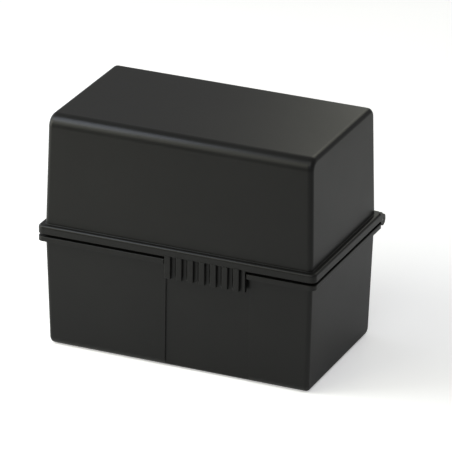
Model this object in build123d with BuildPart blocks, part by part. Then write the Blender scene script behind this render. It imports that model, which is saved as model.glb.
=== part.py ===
"""A hinged index card box for A6 cards, stored upright, with its latch, hinge pin, support plate, guides and cards.

Units are millimetres. +X is to the right, +Y to the back where the hinge is, +Z up.
The origin is the centre of the face that the box stands on.
"""

from build123d import *
import os
from math import atan2, degrees, radians, tan

os.makedirs("parts", exist_ok=True)

# Cards: ISO A6, landscape.
CARD_W = 148.0
CARD_H = 105.0
PACK_T = 1.0
GUIDE_T = 0.5
TAB_H = 11.0
SHEET_GAP = 0.05
GROUP_GAP = 0.3

# Box shells, at the parting line.
BODY_W = 162.0
BODY_D = 94.0
BODY_H = 139.0
WALL = 2.0
FLOOR = 2.2
DRAFT = 1.4
TRAY_CORNER_R = 2.5
LID_CORNER_R = 3.0
INNER_CORNER_R = 1.2
FIT = 0.3
REACH = 0.1

# Heights of the joint between the two shells.
LIP_BOTTOM = 64.7
LIP_TOP = 67.5
SKIRT_BOTTOM = 69.3
LEDGE_TOP = 74.1
LEDGE_T = 2.0
RIM_TOP = LEDGE_TOP - LEDGE_T - FIT

# Flanges of both shells.
FLANGE = 3.2
FLANGE_CORNER_R = 3.5
FLANGE_TOP_R = 1.5
LEDGE_FILLET_R = 0.3
LIP_EDGE_R = 0.4
UNDERCUT_H = 1.3

# Rounded long edges.
TOP_FRONT_R = 7.0
TOP_BACK_R = 6.0
BOTTOM_R = 4.5

# Latch tongue and the sunk panel that it hangs over, both to the right of the middle.
PANEL_LEFT = -6.2
PANEL_RIGHT = 43.7
PANEL_SPREAD_LEFT = 1.2
PANEL_SPREAD_RIGHT = 0.2
PANEL_SINK = 0.8
TONGUE_LEFT = -5.9
TONGUE_RIGHT = 42.8
TONGUE_TOP = 69.7
TONGUE_BOTTOM = 56.3
TONGUE_T = 2.6
BAR_COUNT = 7
BAR_PITCH = 6.9
BAR_W = 3.6
BAR_PROUD = 0.2
BAR_EDGE_R = 0.5
GROOVE_DEPTH = 1.9
GROOVE_REACH = 8.0
CHEEK_W = 1.3
CATCH_PROUD = 0.8
CATCH_H = 1.4
CATCH_Z = 61.0
CATCH_CREST = (0.3, 0.6)
HOOK_PROUD = 0.5
HOOK_DROP = (1.8, 1.4, 0.8, 0.4)
SIDE_PLAY = 0.1

# Hinge.
HINGE_R = 3.4
HINGE_Y = BODY_D / 2 + 3.5
HINGE_Z = 68.8
PIN_R = 1.0
PIN_INSET = 0.2
PIN_END_R = 0.3
TRAY_BORE_R = PIN_R + 0.02
LID_BORE_R = PIN_R + 0.05
KNUCKLE_INNER = 25.0
KNUCKLE_OUTER = 55.0

# Toothed rails on the floor.
RAIL_X = 38.0
RAIL_W = 5.0
RAIL_H = 1.2
TOOTH_H = 0.6
TOOTH_PITCH = 2.6
TOOTH_SLOPE = 0.8
RAIL_FRONT = -38.0
RAIL_BACK = 40.0

# Support plate.
PLATE_T = 1.0
PLATE_W = 140.0
PLATE_H = 92.0
PLATE_CORNER_R = 8.0
PLATE_FOOT = 12.0
PLATE_BEND_R = 1.5
BEAD_W = 6.0
BEAD_T = 0.6
BEAD_SHARE = 0.7
BEAD_FLARE = 30.0

# The file's contents.
SECTIONS = [*"abcdefghijklmnopqrstuvw", "xyz"]
GROUP_SIZE = 4
TAB_PLACES = 6
TAB_GAP = 1.0
TAB_CORNER_R = 2.5
CARD_CORNER_R = 1.5
STACK_FRONT = -24.0
CARD_Z = FLOOR + RAIL_H + REACH

FLANGE_W = BODY_W + 2 * FLANGE
FLANGE_D = BODY_D + 2 * FLANGE
PAST = 1.0


def tapered_block(z_open, z_closed, width, depth, front_r, back_r, side_r):
    """A block of the given size at z_open that narrows by the draft towards a rounded closed end."""
    sink = abs(z_closed - z_open) * tan(radians(DRAFT))
    up = 1 if z_closed > z_open else -1
    with BuildPart() as block:
        with BuildSketch(Plane.YZ) as profile:
            with BuildLine():
                Polyline(
                    (-depth / 2, z_open),
                    (-depth / 2 + sink, z_closed),
                    (depth / 2 - sink, z_closed),
                    (depth / 2, z_open),
                    close=True,
                )
            make_face()
            for corner, radius in ((0, front_r), (-1, back_r)):
                closed_end = profile.vertices().group_by(Axis.Y)[-1 if up > 0 else 0]
                fillet(closed_end.sort_by(Axis.X)[corner], radius)
        extrude(amount=width / 2 + PAST, both=True)
        for side in (-1, 1):
            lean = Vector(side, 0, up * tan(radians(DRAFT)))
            split(bisect_by=Plane(origin=(side * width / 2, 0, z_open), z_dir=lean), keep=Keep.BOTTOM)
        for side in (0, -1):
            rim = block.faces().sort_by(Axis.X)[side].edges()
            fillet(rim.filter_by(lambda edge: abs(edge.center().Z - z_open) > FIT), side_r)
    return block.part


def hinge_cylinder(radius, start, end):
    """A cylinder on the hinge line between two X positions."""
    with BuildPart() as cylinder:
        with BuildSketch(Plane.YZ.offset(start)):
            with Locations((HINGE_Y, HINGE_Z)):
                Circle(radius)
        extrude(amount=end - start)
    return cylinder.part


# Tray shell -------------------------------------------------------------------------------------------

tray_outer = tapered_block(RIM_TOP, 0, BODY_W, BODY_D, BOTTOM_R, BOTTOM_R, TRAY_CORNER_R)
tray_hollow = tapered_block(
    RIM_TOP + PAST,
    FLOOR,
    BODY_W - 2 * WALL,
    BODY_D - 2 * WALL,
    BOTTOM_R - WALL,
    BOTTOM_R - WALL,
    INNER_CORNER_R,
)
# What the sunk panel leaves of the front wall: it runs straight down past the rounded foot.
panel_core = tapered_block(
    RIM_TOP, -2 * BOTTOM_R, BODY_W, BODY_D - 2 * PANEL_SINK, BOTTOM_R, BOTTOM_R, TRAY_CORNER_R
)
# The sunk panel is a little wider at the foot than at the rim.
with BuildPart() as panel_front:
    with BuildSketch(Plane.XZ):
        with BuildLine():
            Polyline(
                (PANEL_LEFT, RIM_TOP + PAST),
                (PANEL_RIGHT, RIM_TOP + PAST),
                (PANEL_RIGHT + PANEL_SPREAD_RIGHT, -PAST),
                (PANEL_LEFT - PANEL_SPREAD_LEFT, -PAST),
                close=True,
            )
        make_face()
    extrude(amount=BODY_D)
    add(panel_core, mode=Mode.SUBTRACT)
lid_barrel_spans = (
    (-FLANGE_W / 2, -KNUCKLE_OUTER),
    (-KNUCKLE_INNER, KNUCKLE_INNER),
    (KNUCKLE_OUTER, FLANGE_W / 2),
)
tray_barrel_spans = ((-KNUCKLE_OUTER, -KNUCKLE_INNER), (KNUCKLE_INNER, KNUCKLE_OUTER))
barrel_way = [hinge_cylinder(HINGE_R + FIT, a - FIT, b + FIT) for a, b in lid_barrel_spans]
tray_barrels = [hinge_cylinder(HINGE_R, a + FIT, b - FIT) for a, b in tray_barrel_spans]
tray_bore = hinge_cylinder(TRAY_BORE_R, -FLANGE_W / 2, FLANGE_W / 2)

with BuildPart() as base_tray:
    add(tray_outer)
    with BuildSketch(Plane.XY.offset(LIP_BOTTOM)):
        RectangleRounded(FLANGE_W, FLANGE_D, FLANGE_CORNER_R)
    extrude(amount=LIP_TOP - LIP_BOTTOM)
    with BuildSketch(Plane.XY.offset(LIP_BOTTOM)):
        RectangleRounded(FLANGE_W, FLANGE_D, FLANGE_CORNER_R)
    extrude(amount=-UNDERCUT_H, taper=degrees(atan2(FLANGE - REACH, UNDERCUT_H)))
    lip_face = base_tray.faces().filter_by(Axis.Z).filter_by_position(Axis.Z, LIP_TOP - REACH, LIP_TOP + REACH)[0]
    fillet(lip_face.outer_wire().edges(), LIP_EDGE_R)
    add(panel_front.part, mode=Mode.SUBTRACT)
    for way in barrel_way:
        add(way, mode=Mode.SUBTRACT)
    # Each knuckle stands on a web that grows out of the back wall.
    for start, end in tray_barrel_spans:
        with BuildSketch(Plane.YZ.offset(start + FIT)):
            with BuildLine():
                Polyline(
                    (BODY_D / 2 - WALL / 2, LIP_BOTTOM - UNDERCUT_H),
                    (BODY_D / 2 + FLANGE, LIP_BOTTOM),
                    (HINGE_Y, HINGE_Z - HINGE_R),
                    (HINGE_Y, HINGE_Z),
                    (BODY_D / 2 - WALL / 2, HINGE_Z),
                    close=True,
                )
            make_face()
        extrude(amount=end - start - 2 * FIT)
    for barrel in tray_barrels:
        add(barrel)
    add(tray_hollow, mode=Mode.SUBTRACT)
    add(tray_bore, mode=Mode.SUBTRACT)
    # Two toothed rails along the floor hold the support plate's foot and the guides' lower edges.
    with BuildSketch(Plane.YZ.offset(-RAIL_X - RAIL_W / 2)) as rail_outline:
        with BuildLine():
            tooth_count = int((RAIL_BACK - RAIL_FRONT) / TOOTH_PITCH)
            teeth = []
            for tooth in range(tooth_count):
                foot_y = RAIL_FRONT + tooth * TOOTH_PITCH
                teeth.append((foot_y, FLOOR + RAIL_H - TOOTH_H))
                teeth.append((foot_y + TOOTH_PITCH * TOOTH_SLOPE, FLOOR + RAIL_H))
            end_y = RAIL_FRONT + tooth_count * TOOTH_PITCH
            Polyline((RAIL_FRONT, FLOOR - PAST), *teeth, (end_y, FLOOR + RAIL_H - TOOTH_H), (end_y, FLOOR - PAST),
                     close=True)
        make_face()
    extrude(amount=RAIL_W)
    extrude(rail_outline.sketch.moved(Location((2 * RAIL_X, 0, 0))), amount=RAIL_W)
    # A low bead across the sunk panel catches the tongue's hook.
    panel_face = -(BODY_D / 2 - PANEL_SINK) + (RIM_TOP - CATCH_Z) * tan(radians(DRAFT))
    with BuildSketch(Plane.YZ.offset(TONGUE_LEFT + BAR_PITCH)):
        with BuildLine():
            Polyline(
                (panel_face + PAST, CATCH_Z),
                (panel_face - CATCH_PROUD, CATCH_Z + CATCH_H * CATCH_CREST[0]),
                (panel_face - CATCH_PROUD, CATCH_Z + CATCH_H * CATCH_CREST[1]),
                (panel_face + PAST, CATCH_Z + CATCH_H),
                close=True,
            )
        make_face()
    extrude(amount=TONGUE_RIGHT - TONGUE_LEFT - 2 * BAR_PITCH)

base_tray.part.label = "base_tray"
export_step(base_tray.part, "parts/base_tray.step")


# Lid shell --------------------------------------------------------------------------------------------

lid_outer = tapered_block(LEDGE_TOP - LEDGE_T, BODY_H, BODY_W, BODY_D, TOP_FRONT_R, TOP_BACK_R, LID_CORNER_R)
lid_hollow = tapered_block(
    LEDGE_TOP - LEDGE_T - PAST,
    BODY_H - WALL,
    BODY_W - 2 * WALL,
    BODY_D - 2 * WALL,
    TOP_FRONT_R - WALL,
    TOP_BACK_R - WALL,
    INNER_CORNER_R,
)
lid_barrels = [hinge_cylinder(HINGE_R, a, b) for a, b in lid_barrel_spans]
knuckle_way = [hinge_cylinder(HINGE_R + FIT, a, b) for a, b in tray_barrel_spans]
lid_bore = hinge_cylinder(LID_BORE_R, -FLANGE_W / 2, FLANGE_W / 2)

with BuildPart() as lid:
    with BuildSketch(Plane.XY.offset(SKIRT_BOTTOM)):
        RectangleRounded(FLANGE_W, FLANGE_D, FLANGE_CORNER_R)
    extrude(amount=LEDGE_TOP - SKIRT_BOTTOM)
    fillet(lid.faces().sort_by(Axis.Z)[-1].outer_wire().edges(), FLANGE_TOP_R)
    add(lid_outer)
    ledge = lid.faces().filter_by(Axis.Z).filter_by_position(Axis.Z, LEDGE_TOP - REACH, LEDGE_TOP + REACH)[0]
    fillet(ledge.inner_wires()[0].edges(), LEDGE_FILLET_R)
    # The ledge runs back and down to the crown of each barrel.
    for start, end in lid_barrel_spans:
        with BuildSketch(Plane.YZ.offset(start)):
            with BuildLine():
                Polyline(
                    (BODY_D / 2 - WALL / 2, HINGE_Z),
                    (BODY_D / 2 - WALL / 2, LEDGE_TOP),
                    (BODY_D / 2 + FLANGE_TOP_R, LEDGE_TOP),
                    (HINGE_Y, HINGE_Z + HINGE_R),
                    (HINGE_Y, HINGE_Z),
                    close=True,
                )
            make_face()
        extrude(amount=end - start)
    for barrel in lid_barrels:
        add(barrel)
    for way in knuckle_way:
        add(way, mode=Mode.SUBTRACT)
    with BuildSketch(Plane.XY.offset(SKIRT_BOTTOM - PAST - HINGE_R)):
        RectangleRounded(FLANGE_W - 2 * WALL, FLANGE_D - 2 * WALL, FLANGE_CORNER_R - WALL)
    extrude(amount=LEDGE_TOP - LEDGE_T - SKIRT_BOTTOM + PAST + HINGE_R, mode=Mode.SUBTRACT)
    add(lid_hollow, mode=Mode.SUBTRACT)
    add(lid_bore, mode=Mode.SUBTRACT)
    # The latch tongue hangs in a shallow notch of the front skirt.
    with BuildSketch(Plane.XY.offset(SKIRT_BOTTOM - PAST)):
        with Locations(((TONGUE_LEFT + TONGUE_RIGHT) / 2, -BODY_D / 2 - FLANGE + WALL / 2)):
            Rectangle(TONGUE_RIGHT - TONGUE_LEFT + 2 * SIDE_PLAY, WALL + PAST)
    extrude(amount=TONGUE_TOP - SKIRT_BOTTOM + PAST, mode=Mode.SUBTRACT)

lid.part.label = "lid"
export_step(lid.part, "parts/lid.step")


# Latch tongue -----------------------------------------------------------------------------------------

face_y = -BODY_D / 2 - FLANGE
tongue_w = TONGUE_RIGHT - TONGUE_LEFT
tongue_h = TONGUE_TOP - TONGUE_BOTTOM

with BuildPart() as latch_tongue:
    with BuildSketch(Plane.XZ.offset(-face_y + BAR_PROUD)):
        with Locations(((TONGUE_LEFT + TONGUE_RIGHT) / 2, (TONGUE_TOP + TONGUE_BOTTOM) / 2)):
            Rectangle(tongue_w, tongue_h)
    extrude(amount=-(TONGUE_T + BAR_PROUD))
    # Round-bottomed grooves run down its whole height and leave the grip bars between them.
    # The right-hand end is cut back for the cheek.
    with BuildSketch(Plane.XY.offset(TONGUE_BOTTOM)):
        for bar in range(BAR_COUNT):
            groove_x = TONGUE_LEFT + SIDE_PLAY + bar * BAR_PITCH + (BAR_W + BAR_PITCH) / 2
            with Locations((groove_x, face_y + GROOVE_DEPTH - GROOVE_REACH / 2)):
                SlotOverall(GROOVE_REACH, BAR_PITCH - BAR_W, rotation=90)
        with Locations((TONGUE_RIGHT, face_y + GROOVE_DEPTH - GROOVE_REACH / 2)):
            Rectangle(2 * CHEEK_W, GROOVE_REACH)
    extrude(amount=tongue_h, mode=Mode.SUBTRACT)
    outer_edges = latch_tongue.faces().filter_by(Axis.Y).group_by(Axis.Y)[0].edges()
    fillet(outer_edges.filter_by(Axis.Z), BAR_EDGE_R)
    # A thin cheek closes the grip at its right-hand end.
    with BuildSketch(Plane.XZ.offset(-face_y - GROOVE_DEPTH)):
        with Locations((TONGUE_RIGHT - CHEEK_W / 2, (TONGUE_TOP + TONGUE_BOTTOM) / 2)):
            Rectangle(CHEEK_W, tongue_h)
    extrude(amount=GROOVE_DEPTH)
    # The hook behind the grip faces the tray's bead.
    hook_y = face_y + TONGUE_T
    with BuildSketch(Plane.YZ.offset(TONGUE_LEFT + BAR_PITCH)):
        with BuildLine():
            Polyline(
                (hook_y - HOOK_PROUD / 2, CATCH_Z - HOOK_DROP[0] * CATCH_H),
                (hook_y + HOOK_PROUD, CATCH_Z - HOOK_DROP[1] * CATCH_H),
                (hook_y + HOOK_PROUD, CATCH_Z - HOOK_DROP[2] * CATCH_H),
                (hook_y - HOOK_PROUD / 2, CATCH_Z - HOOK_DROP[3] * CATCH_H),
                close=True,
            )
        make_face()
    extrude(amount=tongue_w - 2 * BAR_PITCH)

latch_tongue.part.label = "latch_tongue"
export_step(latch_tongue.part, "parts/latch_tongue.step")


# Hinge pin --------------------------------------------------------------------------------------------

with BuildPart() as hinge_pin:
    with BuildSketch(Plane.YZ.offset(-FLANGE_W / 2 + PIN_INSET)):
        with Locations((HINGE_Y, HINGE_Z)):
            Circle(PIN_R)
    extrude(amount=FLANGE_W - 2 * PIN_INSET)
    fillet(hinge_pin.edges().filter_by(GeomType.CIRCLE), PIN_END_R)

hinge_pin.part.label = "hinge_pin"
export_step(hinge_pin.part, "parts/hinge_pin.step")


# Guides and card packs --------------------------------------------------------------------------------

tab_pitch = CARD_W / TAB_PLACES
section_t = GUIDE_T + PACK_T + 2 * SHEET_GAP
sheet_y = STACK_FRONT

for number, letter in enumerate(SECTIONS):
    if number % GROUP_SIZE == 0 and number > 0:
        sheet_y += GROUP_GAP
    tab_x = -CARD_W / 2 + (number % TAB_PLACES + 0.5) * tab_pitch
    with BuildPart() as guide:
        with BuildSketch(Plane.XZ.offset(-sheet_y)) as sheet:
            with Locations((0, CARD_Z + CARD_H / 2)):
                Rectangle(CARD_W, CARD_H)
            with Locations((tab_x, CARD_Z + CARD_H + TAB_H / 2)):
                Rectangle(tab_pitch - TAB_GAP, TAB_H)
            fillet(sheet.vertices().group_by(Axis.Y)[-1], TAB_CORNER_R)
            fillet(sheet.vertices().group_by(Axis.Y)[0], CARD_CORNER_R)
        extrude(amount=-GUIDE_T)
    guide.part.label = f"guide_{letter}"
    export_step(guide.part, f"parts/guide_{letter}.step")

    pack_y = sheet_y + GUIDE_T + SHEET_GAP
    with BuildPart() as pack:
        with BuildSketch(Plane.XZ.offset(-pack_y)):
            with Locations((0, CARD_Z + CARD_H / 2)):
                RectangleRounded(CARD_W, CARD_H, CARD_CORNER_R)
        extrude(amount=-PACK_T)
    pack.part.label = f"cards_{letter}"
    export_step(pack.part, f"parts/cards_{letter}.step")
    sheet_y += section_t


# Support plate ----------------------------------------------------------------------------------------

plate_y = sheet_y + GROUP_GAP
plate_z = CARD_Z

with BuildPart() as support_plate:
    # The plate, with a foot bent back along the floor.
    with BuildSketch(Plane.YZ.offset(-PLATE_W / 2)) as bend:
        with BuildLine():
            Polyline(
                (plate_y, plate_z),
                (plate_y + PLATE_FOOT, plate_z),
                (plate_y + PLATE_FOOT, plate_z + PLATE_T),
                (plate_y + PLATE_T, plate_z + PLATE_T),
                (plate_y + PLATE_T, plate_z + PLATE_H),
                (plate_y, plate_z + PLATE_H),
                close=True,
            )
        make_face()
        outer_corner = bend.vertices().sort_by_distance((plate_y, plate_z))[0]
        fillet(outer_corner, PLATE_BEND_R)
        inner_corner = bend.vertices().sort_by_distance((plate_y + PLATE_T, plate_z + PLATE_T))[0]
        fillet(inner_corner, PLATE_BEND_R - PLATE_T)
    extrude(amount=PLATE_W)
    fillet(support_plate.faces().sort_by(Axis.Z)[-1].edges().filter_by(Axis.Y), PLATE_CORNER_R)
    fillet(support_plate.faces().sort_by(Axis.Y)[-1].edges().filter_by(Axis.Z), PLATE_CORNER_R / 2)
    # Two upright stiffening beads on the back.
    with BuildSketch(Plane.XZ.offset(-plate_y - PLATE_T)):
        with Locations((-PLATE_W / 4, plate_z + PLATE_H / 2), (PLATE_W / 4, plate_z + PLATE_H / 2)):
            SlotOverall(PLATE_H * BEAD_SHARE, BEAD_W, rotation=90)
    extrude(amount=-BEAD_T, taper=BEAD_FLARE)

support_plate.part.label = "support_plate"
export_step(support_plate.part, "parts/support_plate.step")
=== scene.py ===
"""Looks of the index card box: plastic, steel, pressboard, ruled cards, floor, light and camera.

Everything is in metres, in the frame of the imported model: +X right, +Y back, +Z up.
"""
import math
import random

import bmesh
import bpy
from mathutils import Matrix, Vector


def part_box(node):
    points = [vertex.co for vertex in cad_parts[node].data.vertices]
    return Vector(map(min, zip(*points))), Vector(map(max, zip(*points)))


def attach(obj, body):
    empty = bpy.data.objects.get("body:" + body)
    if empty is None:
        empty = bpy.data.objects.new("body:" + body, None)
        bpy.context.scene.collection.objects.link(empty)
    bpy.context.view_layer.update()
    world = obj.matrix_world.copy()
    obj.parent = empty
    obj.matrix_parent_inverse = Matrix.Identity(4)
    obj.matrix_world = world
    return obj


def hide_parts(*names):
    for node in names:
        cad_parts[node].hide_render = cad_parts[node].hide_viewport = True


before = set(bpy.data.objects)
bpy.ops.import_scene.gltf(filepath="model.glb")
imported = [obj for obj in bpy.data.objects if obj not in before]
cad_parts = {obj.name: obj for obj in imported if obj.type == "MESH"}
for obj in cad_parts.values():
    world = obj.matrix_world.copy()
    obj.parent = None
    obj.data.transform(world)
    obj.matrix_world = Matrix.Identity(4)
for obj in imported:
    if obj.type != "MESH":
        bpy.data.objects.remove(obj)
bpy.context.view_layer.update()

MM = 0.001
SECTIONS = [*"abcdefghijklmnopqrstuvw", "xyz"]
GROUP_SIZE = 4
SHEETS_IN_PACK = 5
rng = random.Random(7)


# Node helpers -----------------------------------------------------------------------------------------

# The Mix node keeps sockets for numbers, vectors and colours side by side: these are its colours.
MIX_COLOURS = slice(6, 8)
MIX_RESULT = 2


class Shader:
    """A material and short ways to add and wire its nodes."""

    def __init__(self, name):
        self.material = bpy.data.materials.new(name)
        self.material.use_nodes = True
        self.tree = self.material.node_tree
        self.bsdf = self.tree.nodes["Principled BSDF"]
        self.place = self.add("ShaderNodeTexCoord").outputs["Object"]

    def add(self, kind, **settings):
        node = self.tree.nodes.new(kind)
        for key, value in settings.items():
            setattr(node, key, value)
        return node

    def wire(self, source, target):
        self.tree.links.new(source, target)

    def fixed(self, **values):
        """Sets constant values on the shader's own sockets."""
        for key, value in values.items():
            self.bsdf.inputs[key.replace("_", " ")].default_value = value

    def stretched(self, scale):
        """Object coordinates scaled on each axis."""
        mapping = self.add("ShaderNodeMapping")
        mapping.inputs["Scale"].default_value = scale
        self.wire(self.place, mapping.inputs["Vector"])
        return mapping.outputs["Vector"]

    def noise(self, scale, detail, roughness, vector=None):
        """Noise from 0 to 1 at a scale in waves per metre, over object coordinates or others."""
        node = self.add("ShaderNodeTexNoise")
        node.inputs["Scale"].default_value = scale
        node.inputs["Detail"].default_value = detail
        node.inputs["Roughness"].default_value = roughness
        self.wire(vector or self.place, node.inputs["Vector"])
        return node.outputs["Fac"]

    def spread(self, value, low, high, to_low, to_high):
        """Maps a value from one range to another, clamped."""
        node = self.add("ShaderNodeMapRange")
        limits = {"From Min": low, "From Max": high, "To Min": to_low, "To Max": to_high}
        for key, number in limits.items():
            node.inputs[key].default_value = number
        self.wire(value, node.inputs["Value"])
        return node.outputs["Result"]

    def maths(self, operation, a, b):
        """A sum, product or test of two values, each a number or an output."""
        node = self.add("ShaderNodeMath", operation=operation)
        for socket, value in zip(node.inputs, (a, b)):
            if isinstance(value, (int, float)):
                socket.default_value = value
            else:
                self.wire(value, socket)
        return node.outputs["Value"]

    def blend(self, factor, a, b):
        """A colour mix by a factor output; a and b are colours or colour outputs."""
        node = self.add("ShaderNodeMix", data_type="RGBA")
        self.wire(factor, node.inputs["Factor"])
        for socket, value in zip(node.inputs[MIX_COLOURS], (a, b)):
            if isinstance(value, tuple):
                socket.default_value = (*value, 1.0)
            else:
                self.wire(value, socket)
        return node.outputs[MIX_RESULT]

    def bump(self, height, distance, strength, normal=None):
        """A surface normal disturbed by a height, over another normal where one is given."""
        node = self.add("ShaderNodeBump")
        node.inputs["Distance"].default_value = distance
        node.inputs["Strength"].default_value = strength
        self.wire(height, node.inputs["Height"])
        if normal is not None:
            self.wire(normal, node.inputs["Normal"])
        return node.outputs["Normal"]

    def edges(self, radius):
        """1 along edges that a rounding would soften and 0 on flat faces; then that softened normal."""
        bevel = self.add("ShaderNodeBevel", samples=6)
        bevel.inputs["Radius"].default_value = radius
        flat = self.add("ShaderNodeNewGeometry").outputs["Normal"]
        dot = self.add("ShaderNodeVectorMath", operation="DOT_PRODUCT")
        self.wire(bevel.outputs["Normal"], dot.inputs[0])
        self.wire(flat, dot.inputs[1])
        soft_normal = bevel.outputs["Normal"]
        return self.spread(dot.outputs["Value"], 0.995, 0.80, 0.0, 1.0), soft_normal


# Materials --------------------------------------------------------------------------------------------

def moulded_plastic(name, colour, roughness):
    """Black polystyrene with a fine satin grain, faint sheen changes and slightly polished edges,
    painted lighter along the edges as rubbed wear and as a painted edge highlight.
    """
    s = Shader(name)
    edge, soft_normal = s.edges(0.35 * MM)
    clouds = s.noise(18.0, 4.0, 0.55)
    fine = s.noise(2600.0, 2.0, 0.6)
    # Random darker and lighter tones; the third colour, 1.9 times as light, is laid along the edges as
    # rubbed wear and as a painted edge highlight.
    darker, lighter, wear_and_highlight = (tuple(share * c for c in colour) for share in (0.85, 1.15, 1.9))
    tone = s.blend(s.spread(clouds, 0.3, 0.7, 0.0, 1.0), darker, lighter)
    tone = s.blend(s.maths("MULTIPLY", edge, 0.35), tone, wear_and_highlight)
    s.wire(tone, s.bsdf.inputs["Base Color"])
    gloss = s.spread(clouds, 0.25, 0.75, roughness - 0.035, roughness + 0.035)
    gloss = s.maths("ADD", gloss, s.spread(fine, 0.3, 0.7, -0.03, 0.03))
    gloss = s.maths("SUBTRACT", gloss, s.maths("MULTIPLY", edge, 0.06))
    s.wire(gloss, s.bsdf.inputs["Roughness"])
    s.wire(s.bump(fine, 0.006 * MM, 0.6, soft_normal), s.bsdf.inputs["Normal"])
    s.fixed(Metallic=0.0, IOR=1.5, Specular_IOR_Level=0.25)
    return s.material


def drawn_steel(name):
    """Bright drawn wire: lines along the rod and a few dull patches."""
    s = Shader(name)
    lines = s.noise(900.0, 3.0, 0.6, s.stretched((0.04, 1.0, 1.0)))
    dull = s.noise(260.0, 4.0, 0.6)
    tone = s.blend(s.spread(dull, 0.4, 0.7, 0.0, 1.0), (0.42, 0.42, 0.43), (0.30, 0.29, 0.28))
    s.wire(tone, s.bsdf.inputs["Base Color"])
    s.wire(s.spread(lines, 0.2, 0.8, 0.24, 0.42), s.bsdf.inputs["Roughness"])
    s.wire(s.bump(lines, 0.01 * MM, 0.5), s.bsdf.inputs["Normal"])
    s.fixed(Metallic=1.0)
    return s.material


def enamelled_steel(name):
    """Grey stoved enamel with a faint orange peel and paler, polished edges."""
    s = Shader(name)
    edge, _ = s.edges(0.3 * MM)
    peel = s.noise(700.0, 2.0, 0.4)
    clouds = s.noise(25.0, 4.0, 0.6)
    tone = s.blend(s.spread(clouds, 0.3, 0.7, 0.0, 1.0), (0.26, 0.27, 0.28), (0.31, 0.32, 0.33))
    tone = s.blend(s.maths("MULTIPLY", edge, 0.6), tone, (0.50, 0.50, 0.50))
    s.wire(tone, s.bsdf.inputs["Base Color"])
    s.wire(s.spread(clouds, 0.3, 0.7, 0.34, 0.44), s.bsdf.inputs["Roughness"])
    s.wire(s.bump(peel, 0.02 * MM, 0.4), s.bsdf.inputs["Normal"])
    s.fixed(Metallic=0.0, Specular_IOR_Level=0.5)
    return s.material


def pressboard(name):
    """Buff pressboard: short fibres, dark flecks and a rubbed, paler edge."""
    s = Shader(name)
    edge, _ = s.edges(0.25 * MM)
    fibres = s.noise(1100.0, 4.0, 0.65, s.stretched((0.6, 1.0, 1.0)))
    flecks = s.noise(1500.0, 2.0, 0.7)
    mottle = s.noise(60.0, 3.0, 0.5)
    tone = s.blend(s.spread(fibres, 0.3, 0.7, 0.0, 1.0), (0.53, 0.41, 0.24), (0.60, 0.47, 0.29))
    tone = s.blend(s.spread(mottle, 0.35, 0.75, 0.0, 0.25), tone, (0.56, 0.40, 0.21))
    tone = s.blend(s.spread(flecks, 0.66, 0.72, 0.0, 0.7), tone, (0.25, 0.17, 0.09))
    tone = s.blend(s.maths("MULTIPLY", edge, 0.5), tone, (0.74, 0.64, 0.46))
    s.wire(tone, s.bsdf.inputs["Base Color"])
    s.wire(s.spread(fibres, 0.3, 0.7, 0.62, 0.78), s.bsdf.inputs["Roughness"])
    s.wire(s.bump(fibres, 0.015 * MM, 0.4), s.bsdf.inputs["Normal"])
    s.fixed(Metallic=0.0, Specular_IOR_Level=0.35)
    return s.material


LINE_PITCH = 6.0 * MM
LINE_W = 0.28 * MM
HEAD_MARGIN = 14.0 * MM


def ruled_card(name, card_low, card_high):
    """Uncoated white card with pale blue lines under a red head line."""
    s = Shader(name)
    split = s.add("ShaderNodeSeparateXYZ")
    s.wire(s.place, split.inputs["Vector"])
    height = s.maths("SUBTRACT", split.outputs["Z"], card_low)
    head = card_high - card_low - HEAD_MARGIN
    on_line = s.maths("LESS_THAN", s.maths("MODULO", height, LINE_PITCH), LINE_W)
    below_head = s.maths("LESS_THAN", height, head - LINE_PITCH / 2)
    from_head = s.maths("ABSOLUTE", s.maths("SUBTRACT", height, head), 0.0)
    on_head = s.maths("LESS_THAN", from_head, LINE_W / 2)
    pulp = s.noise(900.0, 4.0, 0.6)
    clouds = s.noise(40.0, 3.0, 0.5)
    tone = s.blend(s.spread(pulp, 0.3, 0.7, 0.0, 1.0), (0.80, 0.78, 0.72), (0.88, 0.87, 0.83))
    tone = s.blend(s.spread(clouds, 0.4, 0.8, 0.0, 0.3), tone, (0.82, 0.77, 0.66))
    blue_ink = s.maths("MULTIPLY", on_line, s.maths("MULTIPLY", below_head, 0.75))
    tone = s.blend(blue_ink, tone, (0.36, 0.52, 0.74))
    tone = s.blend(s.maths("MULTIPLY", on_head, 0.8), tone, (0.72, 0.18, 0.16))
    s.wire(tone, s.bsdf.inputs["Base Color"])
    s.wire(s.spread(pulp, 0.3, 0.7, 0.78, 0.9), s.bsdf.inputs["Roughness"])
    s.wire(s.bump(pulp, 0.02 * MM, 0.4), s.bsdf.inputs["Normal"])
    s.fixed(Metallic=0.0, Specular_IOR_Level=0.3)
    return s.material


def printing_ink(name):
    """Black ink that has sunk into the label, a little uneven."""
    s = Shader(name)
    speckle = s.noise(2200.0, 3.0, 0.7)
    tone = s.blend(s.spread(speckle, 0.35, 0.75, 0.0, 1.0), (0.012, 0.012, 0.014), (0.06, 0.06, 0.065))
    s.wire(tone, s.bsdf.inputs["Base Color"])
    s.wire(s.spread(speckle, 0.3, 0.7, 0.5, 0.65), s.bsdf.inputs["Roughness"])
    s.fixed(Metallic=0.0, Specular_IOR_Level=0.4)
    return s.material


BLACK = (0.0068, 0.0068, 0.0063)
card_bottom, card_top = (corner[2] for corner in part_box("cards_a"))
shell_plastic = moulded_plastic("shell_plastic", BLACK, 0.33)
grip_plastic = moulded_plastic("grip_plastic", BLACK, 0.35)
pin_steel = drawn_steel("pin_steel")
plate_enamel = enamelled_steel("plate_enamel")
guide_board = pressboard("guide_board")
card_paper = ruled_card("card_paper", card_bottom, card_top)
label_ink = printing_ink("label_ink")


def dress(node, material):
    """Gives a CAD node its material."""
    for material_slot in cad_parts[node].material_slots:
        material_slot.material = material


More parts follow.
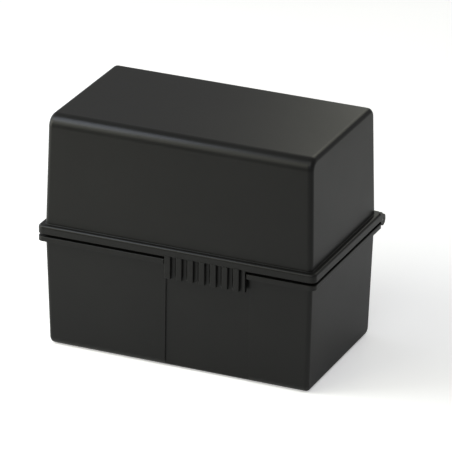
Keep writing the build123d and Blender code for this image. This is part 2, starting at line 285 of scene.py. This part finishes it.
dress("base_tray", shell_plastic)
dress("lid", shell_plastic)
dress("latch_tongue", grip_plastic)
dress("hinge_pin", pin_steel)
dress("support_plate", plate_enamel)
for letter in SECTIONS:
    dress(f"guide_{letter}", guide_board)


# Cards and labels -------------------------------------------------------------------------------------

CORNER_STEPS = 4
CARD_CORNER_R = 1.2 * MM
CARD_FILL = 0.9


def rounded_outline(width, height, radius):
    """Corner points of a rounded rectangle about the origin, anticlockwise."""
    points = []
    for quarter, (sx, sy) in enumerate(((1, 1), (-1, 1), (-1, -1), (1, -1))):
        for step in range(CORNER_STEPS + 1):
            angle = math.radians(90 * quarter + 90 * step / CORNER_STEPS)
            x = sx * (width / 2 - radius) + radius * math.cos(angle)
            y = sy * (height / 2 - radius) + radius * math.sin(angle)
            points.append((x, y))
    return points


def add_sheet(mesh, centre_x, centre_z, front_y, outline, thickness):
    """Adds an upright closed sheet to a bmesh: the outline is in X and Z, the thickness runs back."""
    front = [mesh.verts.new((centre_x + x, front_y, centre_z + z)) for x, z in outline]
    back = [mesh.verts.new((v.co.x, front_y + thickness, v.co.z)) for v in front]
    mesh.faces.new(front)
    mesh.faces.new(list(reversed(back)))
    for i in range(len(front)):
        j = (i + 1) % len(front)
        mesh.faces.new((front[j], front[i], back[i], back[j]))


def piece_from(mesh, name, material):
    """Turns a bmesh into a linked object of one material."""
    bmesh.ops.recalc_face_normals(mesh, faces=mesh.faces)
    data = bpy.data.meshes.new(name)
    mesh.to_mesh(data)
    mesh.free()
    data.materials.append(material)
    piece = bpy.data.objects.new(name, data)
    bpy.context.scene.collection.objects.link(piece)
    return piece


def body_of_section(number):
    """The body of the group that a section leans with."""
    first = number // GROUP_SIZE * GROUP_SIZE
    return f"cards_{SECTIONS[first]}_to_{SECTIONS[first + GROUP_SIZE - 1]}"


def card_pack(number, letter):
    """The separate cards of one section, knocked together but never quite level."""
    low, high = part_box(f"cards_{letter}")
    pitch = (high[1] - low[1]) / SHEETS_IN_PACK
    width, height = high[0] - low[0], high[2] - low[2]
    mesh = bmesh.new()
    for sheet in range(SHEETS_IN_PACK):
        trim_w = rng.uniform(0.1, 0.7) * MM
        trim_h = rng.uniform(0.0, 0.6) * MM
        outline = rounded_outline(width - trim_w, height - trim_h, CARD_CORNER_R)
        shift = rng.uniform(-0.5, 0.5) * trim_w
        centre_z = low[2] + (height - trim_h) / 2
        add_sheet(mesh, shift, centre_z, low[1] + sheet * pitch, outline, CARD_FILL * pitch)
    piece = piece_from(mesh, f"card_sheets_{letter}", card_paper)
    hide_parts(f"cards_{letter}")
    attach(piece, body_of_section(number))


TAB_PLACES = 6
TAB_H = 11.0 * MM
LABEL_W = 18.0 * MM
LABEL_H = 7.4 * MM
LABEL_CORNER_R = 1.0 * MM
LABEL_T = 0.03 * MM
LETTER_H = 6.6 * MM
INK_T = LABEL_T / 4


def tab_label(number, letter):
    """A white paper label on the front of a guide's tab, with its letter printed on it."""
    low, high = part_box(f"guide_{letter}")
    pitch = (high[0] - low[0]) / TAB_PLACES
    centre_x = low[0] + (number % TAB_PLACES + 0.5) * pitch
    centre_z = high[2] - TAB_H / 2
    outline = rounded_outline(LABEL_W, LABEL_H, LABEL_CORNER_R)
    mesh = bmesh.new()
    add_sheet(mesh, centre_x, centre_z, low[1] - LABEL_T, outline, LABEL_T)
    label = piece_from(mesh, f"tab_label_{letter}", label_paper)
    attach(label, body_of_section(number))

    text = bpy.data.curves.new(f"text_{letter}", "FONT")
    text.body = letter.upper()
    text.size = LETTER_H
    text.align_x = "CENTER"
    text.align_y = "CENTER"
    text.resolution_u = 4
    text.extrude = INK_T
    source = bpy.data.objects.new(f"text_{letter}", text)
    bpy.context.scene.collection.objects.link(source)
    bpy.context.view_layer.update()
    solved = source.evaluated_get(bpy.context.evaluated_depsgraph_get())
    letter_mesh = bpy.data.meshes.new_from_object(solved)
    bpy.data.objects.remove(source)
    upright = Matrix.Rotation(math.pi / 2, 4, "X")
    letter_mesh.transform(Matrix.Translation((centre_x, low[1] - LABEL_T, centre_z)) @ upright)
    letter_mesh.materials.clear()
    letter_mesh.materials.append(label_ink)
    print_piece = bpy.data.objects.new(f"tab_letter_{letter}", letter_mesh)
    bpy.context.scene.collection.objects.link(print_piece)
    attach(print_piece, body_of_section(number))


def plain_paper(name):
    """The labels' white paper."""
    s = Shader(name)
    pulp = s.noise(1400.0, 4.0, 0.6)
    tone = s.blend(s.spread(pulp, 0.3, 0.7, 0.0, 1.0), (0.84, 0.83, 0.79), (0.92, 0.91, 0.88))
    s.wire(tone, s.bsdf.inputs["Base Color"])
    s.wire(s.spread(pulp, 0.3, 0.7, 0.6, 0.75), s.bsdf.inputs["Roughness"])
    s.fixed(Metallic=0.0, Specular_IOR_Level=0.35)
    return s.material


label_paper = plain_paper("label_paper")
for section, section_letter in enumerate(SECTIONS):
    card_pack(section, section_letter)
    tab_label(section, section_letter)


# Floor, light and camera ------------------------------------------------------------------------------

FLOOR_REACH = 12.0
FLOOR_GLOW = 0.38
FLOOR_DROP = 0.2 * MM


def floor():
    """A wide sheet of white paper, lifted towards white where it is seen directly."""
    mesh = bmesh.new()
    bmesh.ops.create_grid(mesh, x_segments=1, y_segments=1, size=FLOOR_REACH)
    s = Shader("floor_paper")
    tone = s.blend(s.noise(3.0, 2.0, 0.5), (0.90, 0.90, 0.90), (0.93, 0.93, 0.93))
    s.wire(tone, s.bsdf.inputs["Base Color"])
    seen_directly = s.add("ShaderNodeLightPath").outputs["Is Camera Ray"]
    s.wire(s.maths("MULTIPLY", seen_directly, FLOOR_GLOW), s.bsdf.inputs["Emission Strength"])
    s.fixed(Roughness=0.9, Specular_IOR_Level=0.1, Emission_Color=(1.0, 1.0, 1.0, 1.0))
    plane = piece_from(mesh, "floor", s.material)
    plane.location.z = -FLOOR_DROP


def direction(azimuth, elevation):
    """A unit vector out from the box, from angles in degrees. Azimuth 0 is the front, 90 the right."""
    a, e = math.radians(azimuth), math.radians(elevation)
    return Vector((math.sin(a) * math.cos(e), -math.cos(a) * math.cos(e), math.sin(e)))


def panel(name, azimuth, elevation, distance, size, radiance, colour):
    """A square softbox that faces the middle of the box."""
    light = bpy.data.lights.new(name, "AREA")
    light.shape = "SQUARE"
    light.size = size
    light.energy = radiance * math.pi * size**2
    light.color = colour
    lamp = bpy.data.objects.new(name, light)
    away = direction(azimuth, elevation)
    lamp.location = BOX_MIDDLE + distance * away
    lamp.rotation_mode = "QUATERNION"
    lamp.rotation_quaternion = away.to_track_quat("Z", "Y")
    lamp.visible_camera = False
    bpy.context.scene.collection.objects.link(lamp)


def studio_air(level):
    """An even, dim surround."""
    world = bpy.data.worlds.new("studio_air")
    world.use_nodes = True
    world.node_tree.nodes["Background"].inputs["Color"].default_value = (level, level, level, 1.0)
    bpy.context.scene.world = world


BOX_MIDDLE = Vector((0.0, 0.0, 0.07))
AIR_LEVEL = 0.31
SOFTBOX_DISTANCE = 0.70
SOFTBOX_SIZE = 0.36
KEY_DISTANCE = 0.36
KEY_SIZE = 0.15
WARM = (1.0, 1.0, 0.84)
COOL = (0.90, 0.98, 1.15)
NEUTRAL = (1.0, 1.0, 1.0)
# Softboxes: azimuth and elevation in degrees, distance and size in metres, radiance, colour.
PANELS = {
    "key": (-50.0, 53.0, KEY_DISTANCE, KEY_SIZE, 4.3, COOL),
    "left_front": (-60.0, 35.0, SOFTBOX_DISTANCE, SOFTBOX_SIZE, 2.9, WARM),
    "left_front_low": (-60.0, 12.0, SOFTBOX_DISTANCE, SOFTBOX_SIZE, 3.6, WARM),
    "left": (-90.0, 35.0, SOFTBOX_DISTANCE, SOFTBOX_SIZE, 0.9, NEUTRAL),
    "left_low": (-90.0, 12.0, SOFTBOX_DISTANCE, SOFTBOX_SIZE, 1.3, COOL),
    "left_back_low": (-120.0, 12.0, SOFTBOX_DISTANCE, SOFTBOX_SIZE, 0.9, COOL),
    "front_left": (-30.0, 35.0, SOFTBOX_DISTANCE, SOFTBOX_SIZE, 2.0, WARM),
    "front_right": (30.0, 35.0, SOFTBOX_DISTANCE, SOFTBOX_SIZE, 0.55, COOL),
    "top_front": (-10.0, 57.0, SOFTBOX_DISTANCE, SOFTBOX_SIZE, 0.6, WARM),
    "top_right": (30.0, 57.0, SOFTBOX_DISTANCE, SOFTBOX_SIZE, 1.45, NEUTRAL),
    "back": (180.0, 35.0, SOFTBOX_DISTANCE, SOFTBOX_SIZE, 1.12, WARM),
    "back_low": (180.0, 12.0, SOFTBOX_DISTANCE, SOFTBOX_SIZE, 0.12, COOL),
}
floor()
studio_air(AIR_LEVEL)
for panel_name, settings in PANELS.items():
    panel(panel_name, *settings)


# Angles in degrees, places in metres, lens and sensor in millimetres.
CAMERA_AZIMUTH = 23.41
CAMERA_ELEVATION = 23.20
CAMERA_ROLL = 0.67
CAMERA_TARGET = Vector((0.00943, -0.0001, 0.07089))
CAMERA_DISTANCE = 2.5230
SENSOR_W = 36.0
LENS = 358.407


def camera():
    """A long lens from the front right, above the box."""
    azimuth = math.radians(CAMERA_AZIMUTH)
    roll = math.radians(CAMERA_ROLL)
    back = direction(CAMERA_AZIMUTH, CAMERA_ELEVATION)
    level_right = Vector((math.cos(azimuth), math.sin(azimuth), 0.0))
    level_up = back.cross(level_right)
    right = level_right * math.cos(roll) + level_up * math.sin(roll)
    up = level_up * math.cos(roll) - level_right * math.sin(roll)
    data = bpy.data.cameras.new("photo_camera")
    data.sensor_width = SENSOR_W
    data.lens = LENS
    data.clip_start = 0.1
    data.clip_end = 50.0
    eye = bpy.data.objects.new("photo_camera", data)
    eye.matrix_world = Matrix((right, up, back)).transposed().to_4x4()
    eye.location = CAMERA_TARGET + CAMERA_DISTANCE * back
    bpy.context.scene.collection.objects.link(eye)
    bpy.context.scene.camera = eye


camera()
bpy.context.scene.view_settings.view_transform = "Standard"
